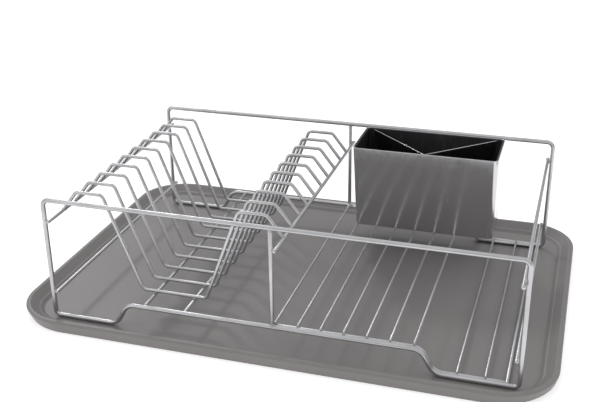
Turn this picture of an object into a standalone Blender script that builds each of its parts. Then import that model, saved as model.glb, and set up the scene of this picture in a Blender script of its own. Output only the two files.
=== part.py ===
"""Dish drying rack: a bent-wire rack with plate dividers and a cutlery holder, standing in a drip tray."""

import math

import bmesh
import bpy
from mathutils import Vector

GAP = 0.0003

# Rack frame, measured from the front left leg: x to the right, y to the back, z up from the foot wire.
RACK_LENGTH = 0.480
RACK_DEPTH = 0.3045
RACK_HEIGHT = 0.1314
RACK_SHIFT_X = 0.0047
RACK_SHIFT_Y = -0.0111
FRAME_R = 0.0024
UPRIGHT_R = 0.0022
RAIL_R = 0.0018
GRID_R = 0.0012
UPRIGHT_X = 0.2405
RAIL_Z = 0.1080
RAIL_OVERHANG = 0.0030
BALL_OVERHANG = 0.0090
BALL_R = 0.0026
SIDE_WIRE_Z = 0.0275
TOP_BEND_R = 0.007
FOOT_BEND_R = 0.005

# Bottom wire: it stands on a foot at each end and steps up to a raised middle.
RAISED_Z = 0.0242
STEP_FOOT_X = 0.0710
STEP_TOP_X = 0.0840
RIGHT_STEP_TOP_X = 0.3873
STEP_BEND_R = 0.014

# Plate dividers: each wire goes up from a rail, over a flat hat, down to a low flat, and up again.
DIVIDER_COUNT = 10
DIVIDER_FIRST_Y = 0.0285
DIVIDER_PITCH = 0.0268
HAT_Z = 0.1303
HAT_OUTER = 0.1028
HAT_INNER = 0.0737
FLAT_HALF = 0.0352
DIVIDER_BEND_R = 0.006
PLATE_WIRE_HALF = 0.0220

# Grid for bowls and cups in the right half.
RAISED_GRID_COUNT = 7
RAISED_GRID_FIRST_X = 0.2425
RAISED_GRID_PITCH = 0.0230
LOW_GRID_FIRST_X = 0.4219
LOW_GRID_PITCH = 0.0267
LOW_GRID_COUNT = 2
GRID_END_X = 0.4685
GRID_WIRE_OVERHANG = 0.0017

# Cutlery holder: a steel box whose front wall leans back towards its foot.
HOLDER_TOP = (0.2620, 0.4262, 0.2265)
HOLDER_FOOT = (0.2635, 0.4247, 0.2420)
HOLDER_TOP_Z = 0.1315
HOLDER_CORNER_R = 0.006
SHELL_WALL = 0.0010
LINER_WALL = 0.0015
LINER_DROP = 0.0005
SHEET = 0.0010
DIVIDER_DROP = 0.0015
DIVIDER_CORNER_GAP = 0.006
DRAIN_R = 0.0025
DRAIN_COLUMNS = 5
DRAIN_ROWS = 2

# Drip tray: offsets are measured inwards from the widest outline.
TRAY_LENGTH = 0.5600
TRAY_DEPTH = 0.3810
TRAY_CORNER_R = 0.056
TRAY_FLOOR = 0.0025
TRAY_CORNER_STEPS = 8
TRAY_UNDERSIDE = [(0.0180, 0), (0.0168, 0.0006), (0.0150, 0.0024), (0.0124, 0.0040), (0.0058, 0.0094),
                  (0.0044, 0.0100), (0.0030, 0.0090), (0.0024, 0.0078), (0.0036, 0)]
TRAY_RIM = [(0.0018, 0), (0, 0.0088), (0.0003, 0.0103), (0.0013, 0.0115), (0.0028, 0.0123), (0.0042, 0.0125),
            (0.0054, 0.0123), (0.0063, 0.0116)]
TRAY_LEDGE = [(0.0134, 0.0060), (0.0140, 0.0057), (0.0152, 0.0055), (0.0160, 0.0050), (0.0178, 0.0034),
              (0.0190, 0.0027), (0.0205, TRAY_FLOOR)]

FOOT_Z = TRAY_FLOOR + GAP + FRAME_R
RACK_CORNER = Vector((RACK_SHIFT_X - RACK_LENGTH / 2, RACK_SHIFT_Y - RACK_DEPTH / 2, FOOT_Z))
RAIL_INSET = FRAME_R + GAP + RAIL_R
MIDDLE_RAIL_X = UPRIGHT_X + UPRIGHT_R + GAP + RAIL_R
DIVIDER_CENTRE = (RAIL_INSET + MIDDLE_RAIL_X) / 2
HOLDER_BACK = RACK_DEPTH - FRAME_R - 2 * GAP
HOLDER_FOOT_Z = RAISED_Z + RAIL_R + 2 * GAP + 2 * GRID_R

# Colour, roughness and metallic value of each finish.
CHROME = ((0.62, 0.62, 0.63), 0.18, 1.0)
STEEL = ((0.55, 0.55, 0.56), 0.22, 1.0)
BLACK_PLASTIC = ((0.012, 0.012, 0.013), 0.45, 0.0)
GREY_PLASTIC = ((0.20, 0.195, 0.19), 0.5, 0.0)


def clear_scene():
    for item in list(bpy.data.objects):
        bpy.data.objects.remove(item)


def collection(name):
    made = bpy.data.collections.new(name)
    bpy.context.scene.collection.children.link(made)
    return made


def material(name, colour, roughness, metallic):
    made = bpy.data.materials.new(name)
    made.use_nodes = True
    shader = made.node_tree.nodes["Principled BSDF"]
    shader.inputs["Base Color"].default_value = (*colour, 1)
    shader.inputs["Roughness"].default_value = roughness
    shader.inputs["Metallic"].default_value = metallic
    return made


def place(name, data, finish, group, origin):
    made = bpy.data.objects.new(name, data)
    data.materials.append(material(name, *finish))
    made.parent = origin
    group.objects.link(made)
    return made


def arc(before, corner, after, radius, steps):
    """Points of the round bend that replaces one corner of a path."""
    back = (before - corner).normalized()
    ahead = (after - corner).normalized()
    half = back.angle(ahead) / 2
    centre = corner + (back + ahead).normalized() * radius / math.sin(half)
    start = corner + back * radius / math.tan(half) - centre
    end = corner + ahead * radius / math.tan(half) - centre
    axis_turn = start.rotation_difference(end)
    points = []
    for step in range(steps + 1):
        turn = axis_turn.copy()
        turn.angle = axis_turn.angle * step / steps
        points.append(centre + turn @ start)
    return points


def bent_path(corners, radii, steps, closed=False):
    """A path through the corners, each rounded to its own radius."""
    points = []
    last = len(corners) - 1
    for index, corner in enumerate(corners):
        if not closed and index in (0, last):
            points.append(corner)
        else:
            after = corners[(index + 1) % len(corners)]
            points += arc(corners[index - 1], corner, after, radii[index], steps)
    return points


def wire(name, points, radius, group, origin, closed=False, swell=None):
    """A round wire along the points. swell gives each point its share of the radius."""
    curve = bpy.data.curves.new(name, "CURVE")
    curve.dimensions = "3D"
    curve.bevel_depth = radius
    curve.bevel_resolution = 2
    curve.use_fill_caps = True
    spline = curve.splines.new("POLY")
    spline.points.add(len(points) - 1)
    for point, spot, share in zip(spline.points, points, swell or [1] * len(points)):
        point.co = (*spot, 1)
        point.radius = share
    spline.use_cyclic_u = closed
    return place(name, curve, CHROME, group, origin)


def depth_wire(name, x, z, front, back, radius, group, origin):
    return wire(name, [Vector((x, front, z)), Vector((x, back, z))], radius, group, origin)


def ball_ended_rail(name, x, group, origin):
    """A rail whose two ends swell into a ball."""
    front, back = -BALL_OVERHANG, RACK_DEPTH + BALL_OVERHANG
    neck = 180 - math.degrees(math.asin(RAIL_R / BALL_R))
    stations = []
    for degrees in (20, 50, 80, 110, neck):
        angle = math.radians(degrees)
        stations.append((BALL_R * (1 - math.cos(angle)), BALL_R * math.sin(angle) / RAIL_R))
    points = [Vector((x, front + reach, RAIL_Z)) for reach, _ in stations]
    points += [Vector((x, back - reach, RAIL_Z)) for reach, _ in reversed(stations)]
    shares = [share for _, share in stations]
    return wire(name, points, RAIL_R, group, origin, swell=shares + shares[::-1])


def bottom_step(y):
    """Corners of the bottom wire's two steps, left to right."""
    right_foot = RIGHT_STEP_TOP_X + STEP_TOP_X - STEP_FOOT_X
    return [Vector((STEP_FOOT_X, y, 0)), Vector((STEP_TOP_X, y, RAISED_Z)),
            Vector((RIGHT_STEP_TOP_X, y, RAISED_Z)), Vector((right_foot, y, 0))]


def end_frame(name, y, group, origin):
    corners = [Vector((0, y, 0)), *bottom_step(y), Vector((RACK_LENGTH, y, 0)),
               Vector((RACK_LENGTH, y, RACK_HEIGHT)), Vector((0, y, RACK_HEIGHT))]
    radii = [FOOT_BEND_R] + [STEP_BEND_R] * 4 + [FOOT_BEND_R, TOP_BEND_R, TOP_BEND_R]
    return wire(name, bent_path(corners, radii, 3, closed=True), FRAME_R, group, origin, closed=True)


def upright(name, y, group, origin):
    low = RAISED_Z + FRAME_R + GAP
    high = RACK_HEIGHT - FRAME_R - GAP
    return wire(name, [Vector((UPRIGHT_X, y, low)), Vector((UPRIGHT_X, y, high))], UPRIGHT_R, group, origin)


def plate_divider(name, y, group, origin):
    flat_z = RAISED_Z + 2 * RAIL_R + GAP
    rail = Vector((RAIL_INSET, y, RAIL_Z))
    hat = Vector((DIVIDER_CENTRE - HAT_OUTER, y, HAT_Z))
    start = rail + (hat - rail).normalized() * (RAIL_R + GAP)
    half = [start, hat, Vector((DIVIDER_CENTRE - HAT_INNER, y, HAT_Z)),
            Vector((DIVIDER_CENTRE - FLAT_HALF, y, flat_z))]
    mirrored = [Vector((2 * DIVIDER_CENTRE - p.x, p.y, p.z)) for p in reversed(half)]
    radii = [DIVIDER_BEND_R] * (2 * len(half))
    return wire(name, bent_path(half + mirrored, radii, 2), RAIL_R, group, origin)


def grid_rail(name, y, group, origin):
    """The wire beside a frame's bottom wire, from the upright over the right-hand step to the end wire."""
    start = Vector((UPRIGHT_X - UPRIGHT_R, y, RAISED_Z))
    end = Vector((GRID_END_X - RAIL_R - GAP, y, 0))
    corners = [start, *bottom_step(y)[2:], end]
    return wire(name, bent_path(corners, [STEP_BEND_R] * 4, 3), RAIL_R, group, origin)


def ring(x0, x1, y0, y1, radius, z, steps):
    """A level rounded rectangle, anticlockwise from above."""
    points = []
    for number, (x, y) in enumerate([(x1 - radius, y0 + radius), (x1 - radius, y1 - radius),
                                     (x0 + radius, y1 - radius), (x0 + radius, y0 + radius)]):
        for step in range(steps + 1):
            angle = math.radians(90 * (number - 1 + step / steps))
            points.append((x + radius * math.cos(angle), y + radius * math.sin(angle), z))
    return points


def loft(name, rings):
    """A closed skin through the rings, with a flat cap on the first and the last."""
    mesh = bpy.data.meshes.new(name)
    form = bmesh.new()
    loops = [[form.verts.new(point) for point in points] for points in rings]
    count = len(loops[0])
    for lower, upper in zip(loops, loops[1:]):
        for i in range(count):
            j = (i + 1) % count
            form.faces.new((lower[i], lower[j], upper[j], upper[i]))
    form.faces.new(reversed(loops[0]))
    form.faces.new(loops[-1])
    bmesh.ops.recalc_face_normals(form, faces=form.faces)
    form.to_mesh(mesh)
    form.free()
    return mesh


def drip_tray(group):
    rings = []
    for offset, z in TRAY_UNDERSIDE + TRAY_RIM + TRAY_LEDGE:
        half_x = TRAY_LENGTH / 2 - offset
        half_y = TRAY_DEPTH / 2 - offset
        rings.append(ring(-half_x, half_x, -half_y, half_y, TRAY_CORNER_R - offset, z, TRAY_CORNER_STEPS))
    return place("drip_tray", loft("drip_tray", rings), GREY_PLASTIC, group, None)


def holder_bounds(z, inset):
    """The holder's outline at a height, drawn in by an inset."""
    rise = (z - HOLDER_FOOT_Z) / (HOLDER_TOP_Z - HOLDER_FOOT_Z)
    left, right, front = [low + (high - low) * rise for low, high in zip(HOLDER_FOOT, HOLDER_TOP)]
    return left + inset, right - inset, front + inset, HOLDER_BACK - inset


def holder_ring(z, inset):
    return ring(*holder_bounds(z, inset), HOLDER_CORNER_R - inset, z, 3)


def open_box(name, finish, inset, wall, floor_z, top_z, group, origin):
    rings = [holder_ring(floor_z, inset), holder_ring(top_z, inset),
             holder_ring(top_z, inset + wall), holder_ring(floor_z + wall, inset + wall)]
    box = place(name, loft(name, rings), finish, group, origin)
    drill_drains(box, floor_z, floor_z + wall)
    return box


def drill_drains(box, low, high):
    left, right, front, back = holder_bounds(low, 0)
    drill = bmesh.new()
    for column in range(DRAIN_COLUMNS):
        for row in range(DRAIN_ROWS):
            made = bmesh.ops.create_cone(drill, segments=10, radius1=DRAIN_R, radius2=DRAIN_R,
                                         depth=3 * (high - low), cap_ends=True)
            x = left + (right - left) * (column + 1) / (DRAIN_COLUMNS + 1)
            y = front + (back - front) * (row + 1) / (DRAIN_ROWS + 1)
            bmesh.ops.translate(drill, verts=made["verts"], vec=(x, y, (low + high) / 2))
    mesh = bpy.data.meshes.new(box.name + "_drill")
    drill.to_mesh(mesh)
    drill.free()
    cutter = bpy.data.objects.new(box.name + "_drill", mesh)
    cutter.parent = box.parent
    cutter.hide_render = True
    cutter.display_type = "WIRE"
    CUTTERS.objects.link(cutter)
    cut = box.modifiers.new("drains", "BOOLEAN")
    cut.operation = "DIFFERENCE"
    cut.object = cutter


def cutlery_divider(low, high, inset, group, origin):
    """A sheet folded to a V, whose fold leans like the front wall and whose two legs are flat."""
    form = bmesh.new()
    left, right, front, back = holder_bounds(high, inset)
    back -= SHEET
    middle = (left + right) / 2
    spread = (middle - left - DIVIDER_CORNER_GAP) / (back - front)
    rows = []
    for z in (low, high):
        fold = holder_bounds(z, inset)[2]
        half = (back - fold) * spread
        corners = [(middle - half, back, z), (middle, fold, z), (middle + half, back, z)]
        rows.append([form.verts.new(point) for point in corners])
    for i in (0, 1):
        form.faces.new((rows[0][i], rows[0][i + 1], rows[1][i + 1], rows[1][i]))
    mesh = bpy.data.meshes.new("cutlery_divider")
    form.to_mesh(mesh)
    form.free()
    sheet = place("cutlery_divider", mesh, STEEL, group, origin)
    thicken = sheet.modifiers.new("thickness", "SOLIDIFY")
    thicken.thickness = SHEET
    thicken.use_even_offset = True


def build_rack(group, origin):
    for side, y in (("front", 0), ("back", RACK_DEPTH)):
        end_frame(side + "_frame", y, group, origin)
        upright(side + "_upright", y, group, origin)
    for name, x in (("left_rail", RAIL_INSET), ("middle_rail", MIDDLE_RAIL_X)):
        depth_wire(name, x, RAIL_Z, -RAIL_OVERHANG, RACK_DEPTH + RAIL_OVERHANG, RAIL_R, group, origin)
    ball_ended_rail("right_rail", RACK_LENGTH - RAIL_INSET, group, origin)
    for name, x in (("left_base_wire", RAIL_INSET), ("right_base_wire", RACK_LENGTH - RAIL_INSET)):
        depth_wire(name, x, SIDE_WIRE_Z, -FRAME_R, RACK_DEPTH + FRAME_R, RAIL_R, group, origin)
    butt = FRAME_R + GAP
    for name, side in (("plate_wire_left", -1), ("plate_wire_right", 1)):
        x = DIVIDER_CENTRE + side * PLATE_WIRE_HALF
        depth_wire(name, x, RAISED_Z, butt, RACK_DEPTH - butt, RAIL_R, group, origin)
    for number in range(DIVIDER_COUNT):
        y = DIVIDER_FIRST_Y + number * DIVIDER_PITCH
        plate_divider(f"plate_divider_{number + 1:02d}", y, group, origin)


def build_grid(group, origin):
    rail_y = RAIL_INSET
    grid_rail("grid_front_rail", rail_y, group, origin)
    grid_rail("grid_back_rail", RACK_DEPTH - rail_y, group, origin)
    end_y = rail_y - RAIL_R
    depth_wire("grid_end_wire", GRID_END_X, 0, end_y, RACK_DEPTH - end_y, RAIL_R, group, origin)
    lift = RAIL_R + GAP + GRID_R
    wires = [(RAISED_GRID_FIRST_X + i * RAISED_GRID_PITCH, RAISED_Z + lift) for i in range(RAISED_GRID_COUNT)]
    wires += [(LOW_GRID_FIRST_X + i * LOW_GRID_PITCH, lift) for i in range(LOW_GRID_COUNT)]
    start = rail_y - GRID_WIRE_OVERHANG
    for number, (x, z) in enumerate(wires, 1):
        depth_wire(f"grid_wire_{number:02d}", x, z, start, RACK_DEPTH - start, GRID_R, group, origin)


def build_holder(group, origin):
    open_box("holder_shell", STEEL, 0, SHELL_WALL, HOLDER_FOOT_Z, HOLDER_TOP_Z, group, origin)
    liner_inset = SHELL_WALL + GAP
    liner_z = HOLDER_FOOT_Z + SHELL_WALL + GAP
    liner_top = HOLDER_TOP_Z - LINER_DROP
    open_box("holder_liner", BLACK_PLASTIC, liner_inset, LINER_WALL, liner_z, liner_top, group, origin)
    floor_z = liner_z + LINER_WALL + GAP
    cutlery_divider(floor_z, HOLDER_TOP_Z - DIVIDER_DROP, liner_inset + LINER_WALL + GAP, group, origin)


clear_scene()
PARTS = collection("dish_drying_rack")
CUTTERS = collection("cutters")
rack_origin = bpy.data.objects.new("rack_origin", None)
rack_origin.location = RACK_CORNER
PARTS.objects.link(rack_origin)

drip_tray(PARTS)
build_rack(PARTS, rack_origin)
build_grid(PARTS, rack_origin)
build_holder(PARTS, rack_origin)
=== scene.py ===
"""Looks of the dish drying rack: bright wire, a steel cutlery holder with a black liner, and a grey tray."""

import math

import bmesh
import bpy
from mathutils import Matrix, Vector, noise


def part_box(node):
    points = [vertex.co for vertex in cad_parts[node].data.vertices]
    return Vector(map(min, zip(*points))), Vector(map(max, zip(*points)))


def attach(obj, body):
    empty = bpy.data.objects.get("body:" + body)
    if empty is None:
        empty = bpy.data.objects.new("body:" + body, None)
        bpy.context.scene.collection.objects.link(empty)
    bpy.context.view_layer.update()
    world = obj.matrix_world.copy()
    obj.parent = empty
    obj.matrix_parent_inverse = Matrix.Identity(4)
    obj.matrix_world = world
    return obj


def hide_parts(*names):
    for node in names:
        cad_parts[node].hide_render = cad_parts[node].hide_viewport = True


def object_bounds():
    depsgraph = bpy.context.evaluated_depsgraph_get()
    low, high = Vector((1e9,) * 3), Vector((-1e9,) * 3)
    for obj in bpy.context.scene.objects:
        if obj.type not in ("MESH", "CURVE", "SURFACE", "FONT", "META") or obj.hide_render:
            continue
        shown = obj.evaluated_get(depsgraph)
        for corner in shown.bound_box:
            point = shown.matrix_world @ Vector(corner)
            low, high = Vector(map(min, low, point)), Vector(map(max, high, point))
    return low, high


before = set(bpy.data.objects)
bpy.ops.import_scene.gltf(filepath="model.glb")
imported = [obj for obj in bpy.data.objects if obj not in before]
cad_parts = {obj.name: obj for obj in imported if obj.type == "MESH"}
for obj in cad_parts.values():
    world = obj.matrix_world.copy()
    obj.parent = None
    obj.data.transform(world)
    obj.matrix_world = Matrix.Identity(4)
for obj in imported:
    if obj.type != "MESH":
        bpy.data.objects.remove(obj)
CAD_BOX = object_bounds()


def box_centre(node):
    low, high = [Vector(corner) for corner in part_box(node)]
    return (low + high) / 2


def box_size(node):
    low, high = [Vector(corner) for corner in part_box(node)]
    return high - low


def wire_radius(node):
    return min(box_size(node)) / 2


# The frame leaves this gap between wires that cross. The other places and sizes are read from it.
GAP = 0.0003
FRAME_R = wire_radius("front_frame")
RAIL_R = wire_radius("left_rail")
BALL_R = wire_radius("right_rail")
GRID_R = wire_radius("grid_wire_01")
LEFT_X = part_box("front_frame")[0][0] + FRAME_R
RIGHT_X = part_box("front_frame")[1][0] - FRAME_R
FRONT_Y = box_centre("front_frame").y
BACK_Y = box_centre("back_frame").y
FOOT_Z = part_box("front_frame")[0][2] + FRAME_R
TOP_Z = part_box("front_frame")[1][2] - FRAME_R
RAIL_Z = box_centre("left_rail").z
RAISED_Z = box_centre("plate_wire_left").z

# Bends of the frames and the grid rails, in metres, as the frame's wires have them.
TOP_BEND_R = 0.007
FOOT_BEND_R = 0.005
STEP_BEND_R = 0.014
STEP_FOOT_X = LEFT_X + 0.0710
STEP_TOP_X = LEFT_X + 0.0840
STEP_RIGHT_TOP_X = RIGHT_X - 0.0927
STEP_RIGHT_FOOT_X = RIGHT_X - 0.0797

# Bends of a plate divider.
DIVIDERS = [f"plate_divider_{number:02d}" for number in range(1, 11)]
HAT_OUTER = 0.1028
HAT_INNER = 0.0737
FLAT_HALF = 0.0352
DIVIDER_BEND_R = 0.006

GRID_WIRES = [f"grid_wire_{number:02d}" for number in range(1, 10)]

# Smoothness of the wires, and how far a wire's rounded tip reaches, as a share of its radius.
BEND_STEPS = 9
WIRE_SIDES = 20
TIP_STEPS = 5
TIP_LENGTH = 0.55
BALL_RINGS = 12
SHARP_ANGLE = 50

# Weld beads: how fine and how uneven they are, and their sizes as shares of a wire's radius. A size of
# three numbers is how long, wide and high the bead is.
WELD_SIDES = 18
WELD_RINGS = 10
WELD_UNEVEN = 0.12
WELD_LUMPS = 1.7
BEAD_HEIGHT = 0.55
UPRIGHT_BEAD = 1.05
RAIL_BEAD = 1.15
PLATE_WIRE_BEAD = 1.2
END_WIRE_BEAD = 0.95
GRID_BEAD = 1.25
DIVIDER_TOP_BEAD = (1.35, 1.12, 0.62)
DIVIDER_FLAT_BEAD = (1.1, 0.95, 0.5)
SEAM_BEAD = (1.6, 0.8, 0.5)
SEAM_START = 0.012
SEAM_END = 0.016

# Tray profile, from the underside round the rim to the floor: how far in from the widest outline, height,
# and the radius that rounds the corner there.
TRAY_CORNER_R = 0.056
TRAY_CORNER_STEPS = 28
TRAY_BEND_STEPS = 5
TRAY_PROFILE = [(0.0400, 0.0000, 0.0000), (0.0180, 0.0000, 0.0010), (0.0152, 0.0030, 0.0006),
                (0.0130, 0.0036, 0.0006), (0.0058, 0.0098, 0.0008), (0.0030, 0.0096, 0.0008),
                (0.0036, 0.0000, 0.0002), (0.0018, 0.0000, 0.0005), (-0.0004, 0.0120, 0.0026),
                (0.0052, 0.0126, 0.0020), (0.0134, 0.0060, 0.0006), (0.0153, 0.0055, 0.0006),
                (0.0187, 0.0025, 0.0016), (0.0400, 0.0025, 0.0000)]

# The outer wall, which lies less than this far in, has wider corners at its foot than at its rim.
TRAY_WALL_INSET = 0.004
TRAY_FOOT_TUCK = 0.008

# Cutlery holder.
HOLDER_CORNER_R = 0.006
HOLDER_LEAST_CORNER_R = 0.0012
HOLDER_CORNER_STEPS = 10
HOLDER_FILLET = 0.0022
HOLDER_FILLET_STEPS = 6
LEAST_INNER_FILLET = 0.6
HOLDER_RIM_STEPS = 8
HOLDER_FLOOR_EDGE = 0.003
HOLDER_SIDE_LEAN = 0.0015
HOLDER_FRONT_LEAN = 0.0155
SHELL_WALL = 0.0010
LINER_WALL = 0.0015
SHEET = 0.0010
DIVIDER_CORNER_GAP = 0.006
DRAIN_R = 0.0025
DRAIN_COLUMNS = 5
DRAIN_ROWS = 2
DRAIN_SIDES = 24
DRAIN_OVERCUT = 0.002
SHEET_END = 0.0003
SHEET_EDGE_BEVEL = 0.00025
SHEET_EDGE_ANGLE = 60
FOLD_STEPS = 6

# Camera: angles in degrees, and its place from the front left foot.
CAMERA_LENS = 56.55
CAMERA_HEADING = 17.0
CAMERA_TILT = 66.14
CAMERA_ROLL = -0.445
CAMERA_FROM_FOOT = Vector((0.5083, -0.7629, 0.5161))
CAMERA_NEAREST = 0.01

# Studio: strengths, sizes in metres, angles in degrees, and how white the floor and the dome are.
SUN_FROM = Vector((-0.70, 0.95, 1.0))
SUN_STRENGTH = 0.48
SUN_SPREAD = 9
AIM = (0, 0, 0.05)
FLOOR_HALF = 8
FLOOR_DROP = 0.0002
FLOOR_GLOW = 0.45
SKY_LOW = (0.24, 0.24, 0.25, 1)
SKY_HIGH = (0.84, 0.84, 0.85, 1)
SKY_HIGH_FROM = 0.6


# ---------------------------------------------------------------- materials

class Nodes:
    """Short calls for building a Principled material's node tree."""

    def __init__(self, name):
        self.material = bpy.data.materials.new(name)
        self.material.use_nodes = True
        self.tree = self.material.node_tree
        self.shader = self.tree.nodes["Principled BSDF"]
        self.place = self.add("ShaderNodeTexCoord").outputs["Object"]

    def add(self, kind, inputs=None, **settings):
        node = self.tree.nodes.new(kind)
        for key, value in settings.items():
            setattr(node, key, value)
        for key, value in (inputs or {}).items():
            self.put(node.inputs[key], value)
        return node

    def put(self, socket, value):
        if isinstance(value, bpy.types.NodeSocket):
            self.tree.links.new(value, socket)
        else:
            socket.default_value = value

    def stretched(self, scale):
        return self.add("ShaderNodeMapping", {"Vector": self.place, "Scale": scale}).outputs["Vector"]

    def noise(self, scale, detail=3.0, vector=None, roughness=0.5):
        inputs = {"Vector": vector or self.place, "Scale": scale, "Detail": detail, "Roughness": roughness}
        return self.add("ShaderNodeTexNoise", inputs).outputs["Fac"]

    def spots(self, scale, vector=None):
        inputs = {"Vector": vector or self.place, "Scale": scale}
        return self.add("ShaderNodeTexVoronoi", inputs).outputs["Distance"]

    def remap(self, value, low, high, to_low, to_high):
        inputs = {"Value": value, "From Min": low, "From Max": high, "To Min": to_low, "To Max": to_high}
        return self.add("ShaderNodeMapRange", inputs).outputs["Result"]

    def blend(self, factor, first, second):
        node = self.add("ShaderNodeMix", data_type="RGBA")
        self.put(node.inputs["Factor"], factor)
        self.put(node.inputs[6], (*first, 1) if isinstance(first, tuple) else first)
        self.put(node.inputs[7], (*second, 1) if isinstance(second, tuple) else second)
        return node.outputs[2]

    def maths(self, operation, first, second):
        node = self.add("ShaderNodeMath", operation=operation)
        self.put(node.inputs[0], first)
        self.put(node.inputs[1], second)
        return node.outputs[0]

    def bump(self, height, distance, strength=1.0, below=None):
        inputs = {"Height": height, "Distance": distance, "Strength": strength}
        if below:
            inputs["Normal"] = below
        return self.add("ShaderNodeBump", inputs).outputs["Normal"]

    def finish(self, **sockets):
        for key, value in sockets.items():
            self.put(self.shader.inputs[key.replace("_", " ").title()], value)
        return self.material


def chrome_wire():
    """Bright nickel-chrome plating on drawn wire: faint waviness, a slight haze and fine dull specks."""
    n = Nodes("chrome_wire")
    haze = n.noise(38, 4)
    specks = n.noise(620, 2)
    colour = n.blend(n.remap(haze, 0.35, 0.7, 0, 1), (0.55, 0.55, 0.56), (0.45, 0.45, 0.46))
    rough = n.maths("ADD", n.remap(haze, 0.3, 0.7, 0.30, 0.38), n.remap(specks, 0.58, 0.75, 0, 0.12))
    wavy = n.bump(n.noise(160, 2), 0.0002, 0.35)
    grain = n.bump(n.noise(2400, 2), 0.00002, 0.5, wavy)
    return n.finish(base_color=colour, metallic=1.0, roughness=rough, normal=grain)


def steel_sheet():
    """Polished stainless sheet: long faint polishing lines, soft ripples, and dried-water specks."""
    n = Nodes("steel_sheet")
    lines = n.noise(900, 2, n.stretched((1, 1, 0.02)))
    ripple = n.noise(16, 1)
    cloud = n.noise(26, 3)
    specks = n.spots(950)
    dried = n.maths("MULTIPLY", n.remap(specks, 0.12, 0.24, 1, 0), n.remap(cloud, 0.52, 0.66, 0, 1))
    colour = n.blend(dried, (0.60, 0.60, 0.61), (0.74, 0.74, 0.76))
    rough = n.maths("ADD", n.remap(lines, 0.3, 0.7, 0.13, 0.20), n.maths("MULTIPLY", dried, 0.25))
    wave = n.bump(ripple, 0.0012, 0.25)
    drawn = n.bump(lines, 0.00001, 0.5, wave)
    normal = n.bump(dried, 0.00005, 0.4, drawn)
    return n.finish(base_color=colour, metallic=1.0, roughness=rough, normal=normal)


def black_liner():
    """Smooth black moulded plastic with fine scuffs."""
    n = Nodes("black_liner")
    scuffs = n.noise(700, 4, n.stretched((1, 1, 0.1)))
    colour = n.blend(n.remap(scuffs, 0.5, 0.75, 0, 1), (0.010, 0.010, 0.011), (0.028, 0.028, 0.030))
    rough = n.remap(scuffs, 0.3, 0.7, 0.32, 0.5)
    return n.finish(base_color=colour, roughness=rough, normal=n.bump(n.noise(1500, 2), 0.00002, 0.5))


def grey_tray():
    """Warm grey moulded plastic with a spark-eroded grain, slight mottling and fine dark pits."""
    n = Nodes("grey_tray")
    mottle = n.noise(9, 3)
    grain = n.noise(1500, 3, roughness=0.65)
    base = n.blend(n.remap(mottle, 0.3, 0.7, 0, 1), (0.194, 0.182, 0.179), (0.214, 0.202, 0.199))
    colour = n.blend(n.remap(grain, 0.58, 0.75, 0, 0.35), base, (0.13, 0.126, 0.124))
    rough = n.remap(grain, 0.3, 0.7, 0.40, 0.52)
    normal = n.bump(grain, 0.00006, 0.5, n.bump(mottle, 0.0006, 0.15))
    return n.finish(base_color=colour, roughness=rough, normal=normal)


def pale_floor():
    """Almost white, and glowing a little, so that the shadows on it stay faint."""
    n = Nodes("pale_floor")
    colour = n.blend(n.noise(3, 2), (0.88, 0.88, 0.88), (0.90, 0.90, 0.90))
    n.shader.inputs["Emission Color"].default_value = (1, 1, 1, 1)
    n.shader.inputs["Emission Strength"].default_value = FLOOR_GLOW
    return n.finish(base_color=colour, roughness=0.8)


# ---------------------------------------------------------------- shapes

def arc(before, corner, after, radius, steps):
    """Points of the round bend that replaces one corner of a path."""
    back = (before - corner).normalized()
    ahead = (after - corner).normalized()
    half = back.angle(ahead) / 2
    centre = corner + (back + ahead).normalized() * radius / math.sin(half)
    start = corner + back * radius / math.tan(half) - centre
    end = corner + ahead * radius / math.tan(half) - centre
    whole = start.rotation_difference(end)
    points = []
    for step in range(steps + 1):
        turn = whole.copy()
        turn.angle = whole.angle * step / steps
        points.append(centre + turn @ start)
    return points


def bent_path(corners, radii, closed=False, steps=BEND_STEPS):
    """A path through the corners, each rounded to its own radius. A radius of 0 keeps the corner."""
    points = []
    last = len(corners) - 1
    for index, corner in enumerate(corners):
        if radii[index] == 0 or (not closed and index in (0, last)):
            points.append(corner)
        else:
            after = corners[(index + 1) % len(corners)]
            points += arc(corners[index - 1], corner, after, radii[index], steps)
    return points


def skin(form, rings, closed):
    """Side faces between rings of vertices."""
    pairs = list(zip(rings, rings[1:]))
    if closed:
        pairs.append((rings[-1], rings[0]))
    count = len(rings[0])
    for lower, upper in pairs:
        for i in range(count):
            j = (i + 1) % count
            form.faces.new((lower[i], lower[j], upper[j], upper[i]))
    if not closed:
        form.faces.new(list(reversed(rings[0])))
        form.faces.new(rings[-1])


def wire_tip(point, outward, radius):
    """Places and radii of the rounded end of a cut wire, from the tip inwards."""
    length = radius * TIP_LENGTH
    stations = []
    for step in range(1, TIP_STEPS + 1):
        angle = math.radians(90 * step / TIP_STEPS)
        stations.append((point - outward * length * (1 - math.cos(angle)), radius * math.sin(angle)))
    return stations


def tube(form, points, radius, across, closed=False):
    """A round wire along a path that lies in one plane, whose normal is across."""
    if closed:
        stations = [(point, radius) for point in points]
    else:
        start_way = (points[0] - points[1]).normalized()
        end_way = (points[-1] - points[-2]).normalized()
        stations = wire_tip(points[0], start_way, radius)
        stations += [(point, radius) for point in points[1:-1]]
        stations += list(reversed(wire_tip(points[-1], end_way, radius)))
    rings = []
    total = len(stations)
    for index, (point, size) in enumerate(stations):
        before = stations[index - 1][0] if closed or index else point
        after = stations[(index + 1) % total][0] if closed or index < total - 1 else point
        along = (after - before).normalized()
        side = along.cross(across).normalized()
        ring = []
        for step in range(WIRE_SIDES):
            angle = math.tau * step / WIRE_SIDES
            sideways, upwards = size * math.cos(angle), size * math.sin(angle)
            ring.append(form.verts.new(point + side * sideways + across * upwards))
        rings.append(ring)
    skin(form, rings, closed)


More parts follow.
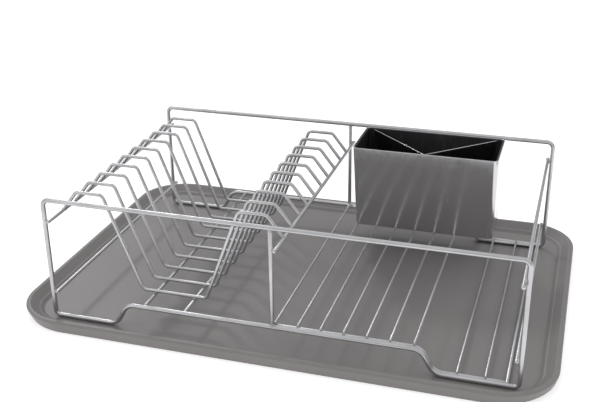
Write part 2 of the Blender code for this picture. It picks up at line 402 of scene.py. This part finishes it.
def weld(form, place, along, over, radius, shares):
    """A flattened, slightly uneven bead at a crossing. over is the direction from one wire to the other."""
    third = over.cross(along).normalized()
    made = bmesh.ops.create_uvsphere(form, u_segments=WELD_SIDES, v_segments=WELD_RINGS, radius=1)
    length, wide, high = [radius * share for share in shares]
    place_in_mm = place * 1000
    for vert in made["verts"]:
        shape = vert.co.copy()
        uneven = 1 + WELD_UNEVEN * noise.noise(shape * WELD_LUMPS + place_in_mm)
        offset = along * (shape.x * length) + third * (shape.y * wide) + over * (shape.z * high)
        vert.co = place + offset * uneven


def as_piece(name, form, material, body, node):
    """Turns the built form into a smooth-shaded piece that rides on a body and stands for a CAD node."""
    mesh = bpy.data.meshes.new(name)
    bmesh.ops.recalc_face_normals(form, faces=form.faces)
    form.to_mesh(mesh)
    form.free()
    mesh.materials.append(material)
    mesh.shade_smooth()
    mesh.set_sharp_from_angle(angle=math.radians(SHARP_ANGLE))
    piece = bpy.data.objects.new(name, mesh)
    bpy.context.scene.collection.objects.link(piece)
    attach(piece, body)
    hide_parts(node)
    return piece


X = Vector((1, 0, 0))
Y = Vector((0, 1, 0))
Z = Vector((0, 0, 1))


# ---------------------------------------------------------------- rack

def bottom_steps(y):
    return [Vector((STEP_FOOT_X, y, FOOT_Z)), Vector((STEP_TOP_X, y, RAISED_Z)),
            Vector((STEP_RIGHT_TOP_X, y, RAISED_Z)), Vector((STEP_RIGHT_FOOT_X, y, FOOT_Z))]


def straight_points(node):
    """End points of a straight wire's axis, read from the node's box."""
    centre = box_centre(node)
    size = box_size(node)
    axis = max(range(3), key=lambda i: size[i])
    half = Vector([size[i] / 2 if i == axis else 0 for i in range(3)])
    return centre - half, centre + half


def ball_ends(form, node):
    """A ball at each of the two ends of a rail."""
    start, end = straight_points(node)
    for tip, inward in ((start, Y), (end, -Y)):
        made = bmesh.ops.create_uvsphere(form, u_segments=WIRE_SIDES, v_segments=BALL_RINGS, radius=BALL_R)
        bmesh.ops.translate(form, verts=made["verts"], vec=tip + inward * BALL_R)


def straight_wire(node, contacts, radius=None):
    """A straight wire with a weld bead at each contact: (place, along, over, bead size)."""
    form = bmesh.new()
    start, end = straight_points(node)
    across = X if abs((end - start).x) < 1e-6 else Z
    tube(form, [start, start.lerp(end, 0.5), end], radius or wire_radius(node), across)
    if node == "right_rail":
        ball_ends(form, node)
    for place, along, over, size in contacts:
        weld(form, place, along, over, size, (1, 1, BEAD_HEIGHT))
    as_piece(node + "_wire", form, CHROME, "rack", node)


def end_frame(side, y):
    node = side + "_frame"
    corners = [Vector((LEFT_X, y, FOOT_Z)), *bottom_steps(y), Vector((RIGHT_X, y, FOOT_Z)),
               Vector((RIGHT_X, y, TOP_Z)), Vector((LEFT_X, y, TOP_Z))]
    radii = [FOOT_BEND_R] + [STEP_BEND_R] * 4 + [FOOT_BEND_R, TOP_BEND_R, TOP_BEND_R]
    form = bmesh.new()
    tube(form, bent_path(corners, radii, closed=True), FRAME_R, Y, closed=True)
    as_piece(node + "_wire", form, CHROME, "rack", node)


def plate_divider(node):
    y = box_centre(node).y
    left_rail, middle_rail = box_centre("left_rail"), box_centre("middle_rail")
    centre = (left_rail.x + middle_rail.x) / 2
    low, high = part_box(node)
    radius = (high[1] - low[1]) / 2
    flat_z, hat_z = low[2] + radius, high[2] - radius
    rail = Vector((left_rail.x, y, left_rail.z))
    hat = Vector((centre - HAT_OUTER, y, hat_z))
    start = rail + (hat - rail).normalized() * (RAIL_R + GAP)
    half = [start, hat, Vector((centre - HAT_INNER, y, hat_z)), Vector((centre - FLAT_HALF, y, flat_z))]
    corners = half + [Vector((2 * centre - p.x, p.y, p.z)) for p in reversed(half)]
    form = bmesh.new()
    tube(form, bent_path(corners, [DIVIDER_BEND_R] * len(corners)), radius, Y)
    for x, lean in ((left_rail.x, hat - rail), (middle_rail.x, Vector((rail.x - hat.x, 0, hat.z - rail.z)))):
        over = lean.normalized()
        contact = Vector((x, y, rail.z)) + over * (RAIL_R + GAP / 2)
        weld(form, contact, Y, over, radius, DIVIDER_TOP_BEAD)
    for name in ("plate_wire_left", "plate_wire_right"):
        contact = Vector((box_centre(name).x, y, flat_z - radius - GAP / 2))
        weld(form, contact, X, Z, radius, DIVIDER_FLAT_BEAD)
    as_piece(node + "_wire", form, CHROME, "rack", node)


def grid_rail(node, side):
    y = box_centre(node).y
    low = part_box(node)[0]
    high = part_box(node)[1]
    corners = [Vector((low[0], y, RAISED_Z)), *bottom_steps(y)[2:], Vector((high[0], y, FOOT_Z))]
    form = bmesh.new()
    tube(form, bent_path(corners, [STEP_BEND_R] * 4), RAIL_R, Y)
    frame_y = FRONT_Y if side == "front" else BACK_Y
    inward = Y if side == "front" else -Y
    contact_y = frame_y + (FRAME_R + GAP / 2) * inward.y
    for x in (low[0] + SEAM_START, (low[0] + STEP_RIGHT_TOP_X) / 2, STEP_RIGHT_TOP_X - SEAM_END):
        weld(form, Vector((x, contact_y, RAISED_Z)), X, inward, RAIL_R, SEAM_BEAD)
    weld(form, Vector((high[0] - SEAM_START, contact_y, FOOT_Z)), X, inward, RAIL_R, SEAM_BEAD)
    as_piece(node + "_wire", form, CHROME, "rack", node)


def build_rack():
    for side, y in (("front", FRONT_Y), ("back", BACK_Y)):
        end_frame(side, y)
        upright = side + "_upright"
        x = box_centre(upright).x
        low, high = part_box(upright)
        end_heights = (low[2] - GAP / 2, high[2] + GAP / 2)
        ends = [(Vector((x, y, z)), X, Z, FRAME_R * UPRIGHT_BEAD) for z in end_heights]
        straight_wire(upright, ends)
    for node, leg, over in (("left_rail", LEFT_X, X), ("right_rail", RIGHT_X, -X),
                            ("left_base_wire", LEFT_X, X), ("right_base_wire", RIGHT_X, -X)):
        z = box_centre(node).z
        x = leg + over.x * (FRAME_R + GAP / 2)
        contacts = [(Vector((x, y, z)), Z, over, RAIL_R * RAIL_BEAD) for y in (FRONT_Y, BACK_Y)]
        straight_wire(node, contacts, RAIL_R)
    upright_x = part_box("front_upright")[1][0] + GAP / 2
    contacts = [(Vector((upright_x, y, RAIL_Z)), Z, X, RAIL_R * RAIL_BEAD) for y in (FRONT_Y, BACK_Y)]
    straight_wire("middle_rail", contacts)
    for node in ("plate_wire_left", "plate_wire_right"):
        x = box_centre(node).x
        reach = FRAME_R + GAP / 2
        contacts = [(Vector((x, y, RAISED_Z)), X, Y, RAIL_R * PLATE_WIRE_BEAD)
                    for y in (FRONT_Y + reach, BACK_Y - reach)]
        straight_wire(node, contacts)
    for node in DIVIDERS:
        plate_divider(node)


def build_grid():
    grid_rail("grid_front_rail", "front")
    grid_rail("grid_back_rail", "back")
    end_contacts = []
    for rail in ("grid_front_rail", "grid_back_rail"):
        contact = Vector((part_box(rail)[1][0] + GAP / 2, box_centre(rail).y, FOOT_Z))
        end_contacts.append((contact, Y, X, RAIL_R * END_WIRE_BEAD))
    straight_wire("grid_end_wire", end_contacts)
    for node in GRID_WIRES:
        x, _, z = box_centre(node)
        contact_z = z - GRID_R - GAP / 2
        contacts = []
        for rail in ("grid_front_rail", "grid_back_rail"):
            contacts.append((Vector((x, box_centre(rail).y, contact_z)), X, Z, GRID_R * GRID_BEAD))
        straight_wire(node, contacts)


# ---------------------------------------------------------------- tray

def rounded_ring(form, x0, x1, y0, y1, radius, z, steps):
    """Vertices of a level rounded rectangle, anticlockwise from above."""
    ring = []
    corners = [(x1 - radius, y0 + radius), (x1 - radius, y1 - radius), (x0 + radius, y1 - radius),
               (x0 + radius, y0 + radius)]
    for number, (x, y) in enumerate(corners):
        for step in range(steps + 1):
            angle = math.radians(90 * (number - 1 + step / steps))
            ring.append(form.verts.new((x + radius * math.cos(angle), y + radius * math.sin(angle), z)))
    return ring


def build_tray():
    low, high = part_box("drip_tray")
    corners = [Vector((offset, 0, z)) for offset, z, _ in TRAY_PROFILE]
    profile = bent_path(corners, [radius for _, _, radius in TRAY_PROFILE], steps=TRAY_BEND_STEPS)
    form = bmesh.new()
    rings = []
    for point in profile:
        inset = point.x
        tuck = TRAY_FOOT_TUCK * (1 - point.z / (high[2] - low[2])) if inset < TRAY_WALL_INSET else 0
        radius = TRAY_CORNER_R - inset + tuck
        rings.append(rounded_ring(form, low[0] + inset, high[0] - inset, low[1] + inset, high[1] - inset,
                                  radius, low[2] + point.z, TRAY_CORNER_STEPS))
    skin(form, rings, closed=False)
    as_piece("drip_tray_body", form, TRAY, "tray", "drip_tray")


# ---------------------------------------------------------------- cutlery holder

def holder_bounds(z, inset):
    """The holder's outline at a height, drawn in by an inset. Its front and sides lean in at the foot."""
    low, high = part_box("holder_shell")
    drop = (high[2] - z) / (high[2] - low[2])
    left = low[0] + HOLDER_SIDE_LEAN * drop + inset
    right = high[0] - HOLDER_SIDE_LEAN * drop - inset
    front = low[1] + HOLDER_FRONT_LEAN * drop + inset
    return left, right, front, high[1] - inset


def holder_ring(form, z, inset):
    radius = max(HOLDER_CORNER_R - inset, HOLDER_LEAST_CORNER_R)
    return rounded_ring(form, *holder_bounds(z, inset), radius, z, HOLDER_CORNER_STEPS)


def open_box(node, material, body, inset, wall):
    """A thin open box with a rounded rim and a rounded foot."""
    low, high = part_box(node)
    foot, top = low[2], high[2]
    stations = [(foot, inset + 3 * HOLDER_FILLET)]
    for step in range(HOLDER_FILLET_STEPS + 1):
        angle = math.radians(90 * step / HOLDER_FILLET_STEPS)
        out, up = HOLDER_FILLET * (1 - math.sin(angle)), HOLDER_FILLET * (1 - math.cos(angle))
        stations.append((foot + up, inset + out))
    rim = wall / 2
    for step in range(HOLDER_RIM_STEPS + 1):
        angle = math.radians(180 * step / HOLDER_RIM_STEPS)
        stations.append((top - rim + rim * math.sin(angle), inset + rim - rim * math.cos(angle)))
    inner = max(HOLDER_FILLET - wall, wall * LEAST_INNER_FILLET)
    for step in range(HOLDER_FILLET_STEPS + 1):
        angle = math.radians(90 * (1 - step / HOLDER_FILLET_STEPS))
        out, up = inner * (1 - math.sin(angle)), inner * (1 - math.cos(angle))
        stations.append((foot + wall + up, inset + wall + out))
    stations.append((foot + wall, inset + wall + inner + HOLDER_FLOOR_EDGE))
    form = bmesh.new()
    rings = [holder_ring(form, z, offset) for z, offset in stations]
    skin(form, rings, closed=False)
    piece = as_piece(node + "_body", form, material, body, node)
    drill_drains(piece, foot, foot + wall)
    return piece


def drill_drains(piece, low, high):
    left, right, front, back = holder_bounds(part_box("holder_shell")[0][2], 0)
    drill = bmesh.new()
    for column in range(DRAIN_COLUMNS):
        for row in range(DRAIN_ROWS):
            made = bmesh.ops.create_cone(drill, segments=DRAIN_SIDES, radius1=DRAIN_R, radius2=DRAIN_R,
                                         depth=high - low + DRAIN_OVERCUT, cap_ends=True)
            x = left + (right - left) * (column + 1) / (DRAIN_COLUMNS + 1)
            y = front + (back - front) * (row + 1) / (DRAIN_ROWS + 1)
            bmesh.ops.translate(drill, verts=made["verts"], vec=(x, y, (low + high) / 2))
    mesh = bpy.data.meshes.new("drill")
    drill.to_mesh(mesh)
    drill.free()
    cutter = bpy.data.objects.new("drill", mesh)
    bpy.context.scene.collection.objects.link(cutter)
    cut = piece.modifiers.new("drains", "BOOLEAN")
    cut.object = cutter
    bpy.context.view_layer.update()
    evaluated = piece.evaluated_get(bpy.context.evaluated_depsgraph_get())
    drilled = bpy.data.meshes.new_from_object(evaluated)
    piece.modifiers.clear()
    piece.data = drilled
    bpy.data.objects.remove(cutter)


def divider_outline(z, inset, top):
    """The V-shaped sheet seen from above. Its fold leans like the front wall, and its legs reach back."""
    left, right, front, back = holder_bounds(top, inset)
    back -= SHEET
    middle = (left + right) / 2
    spread = (middle - left - DIVIDER_CORNER_GAP) / (back - front)
    fold = holder_bounds(z, inset)[2]
    half = (back - fold) * spread
    thick_y = SHEET * math.sqrt(1 + 1 / spread ** 2)
    thick_x = thick_y * spread
    outer = [Vector((middle - half, back, z)), Vector((middle, fold, z)), Vector((middle + half, back, z))]
    inner = [Vector((middle + half - thick_x, back, z)), Vector((middle, fold + thick_y, z)),
             Vector((middle - half + thick_x, back, z))]
    return (bent_path(outer, [0, 2 * SHEET, 0], steps=FOLD_STEPS)
            + bent_path(inner, [0, SHEET, 0], steps=FOLD_STEPS))


def build_cutlery_divider():
    low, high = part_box("cutlery_divider")
    inset = SHELL_WALL + GAP + LINER_WALL + GAP
    form = bmesh.new()
    rings = []
    for z in (low[2], low[2] + SHEET_END, high[2] - SHEET_END, high[2]):
        rings.append([form.verts.new(point) for point in divider_outline(z, inset, high[2])])
    skin(form, rings, closed=False)
    piece = as_piece("cutlery_divider_sheet", form, STEEL, "divider", "cutlery_divider")
    edge = piece.modifiers.new("edge", "BEVEL")
    edge.width = SHEET_EDGE_BEVEL
    edge.segments = 2
    edge.limit_method = "ANGLE"
    edge.angle_limit = math.radians(SHEET_EDGE_ANGLE)


def build_holder():
    open_box("holder_shell", STEEL, "cutlery_holder", 0, SHELL_WALL)
    open_box("holder_liner", LINER, "liner", SHELL_WALL + GAP, LINER_WALL)
    build_cutlery_divider()


# ---------------------------------------------------------------- studio

def area_light(name, place, size, power):
    light = bpy.data.lights.new(name, "AREA")
    light.shape = "RECTANGLE"
    light.size, light.size_y = size
    light.energy = power
    lamp = bpy.data.objects.new(name, light)
    lamp.location = place
    lamp.rotation_euler = (Vector(AIM) - Vector(place)).to_track_quat("-Z", "Y").to_euler()
    bpy.context.scene.collection.objects.link(lamp)


def build_studio():
    mesh = bpy.data.meshes.new("floor")
    form = bmesh.new()
    bmesh.ops.create_grid(form, x_segments=1, y_segments=1, size=FLOOR_HALF)
    form.to_mesh(mesh)
    form.free()
    mesh.materials.append(pale_floor())
    floor = bpy.data.objects.new("floor", mesh)
    floor.location.z = CAD_BOX[0][2] - FLOOR_DROP
    bpy.context.scene.collection.objects.link(floor)
    build_world()
    sun = bpy.data.lights.new("key", "SUN")
    sun.energy = SUN_STRENGTH
    sun.angle = math.radians(SUN_SPREAD)
    lamp = bpy.data.objects.new("key", sun)
    lamp.rotation_euler = SUN_FROM.to_track_quat("Z", "Y").to_euler()
    bpy.context.scene.collection.objects.link(lamp)
    area_light("softbox_left", (-1.7, -1.3, 1.3), (1.8, 1.8), 7)
    area_light("softbox_right", (1.9, 0.3, 1.4), (1.2, 1.6), 3)


def build_world():
    """A pale studio dome, dim at the horizon and brighter overhead."""
    world = bpy.data.worlds.new("studio")
    world.use_nodes = True
    tree = world.node_tree
    way = tree.nodes.new("ShaderNodeTexCoord").outputs["Generated"]
    height = tree.nodes.new("ShaderNodeSeparateXYZ")
    tree.links.new(way, height.inputs["Vector"])
    ramp = tree.nodes.new("ShaderNodeValToRGB")
    tree.links.new(height.outputs["Z"], ramp.inputs["Fac"])
    low, high = ramp.color_ramp.elements
    low.color = SKY_LOW
    high.position = SKY_HIGH_FROM
    high.color = SKY_HIGH
    tree.links.new(ramp.outputs["Color"], tree.nodes["Background"].inputs["Color"])
    bpy.context.scene.world = world


def build_camera():
    data = bpy.data.cameras.new("camera")
    data.lens = CAMERA_LENS
    data.clip_start = CAMERA_NEAREST
    camera = bpy.data.objects.new("camera", data)
    camera.location = Vector((LEFT_X, FRONT_Y, FOOT_Z)) + CAMERA_FROM_FOOT
    heading = Matrix.Rotation(math.radians(CAMERA_HEADING), 3, "Z")
    tilt = Matrix.Rotation(math.radians(CAMERA_TILT), 3, "X")
    roll = Matrix.Rotation(math.radians(CAMERA_ROLL), 3, "Z")
    camera.rotation_euler = (heading @ tilt @ roll).to_euler()
    bpy.context.scene.collection.objects.link(camera)
    bpy.context.scene.camera = camera
    bpy.context.scene.view_settings.view_transform = "Standard"


CHROME = chrome_wire()
STEEL = steel_sheet()
LINER = black_liner()
TRAY = grey_tray()

build_camera()
build_studio()
build_tray()
build_rack()
build_grid()
build_holder()
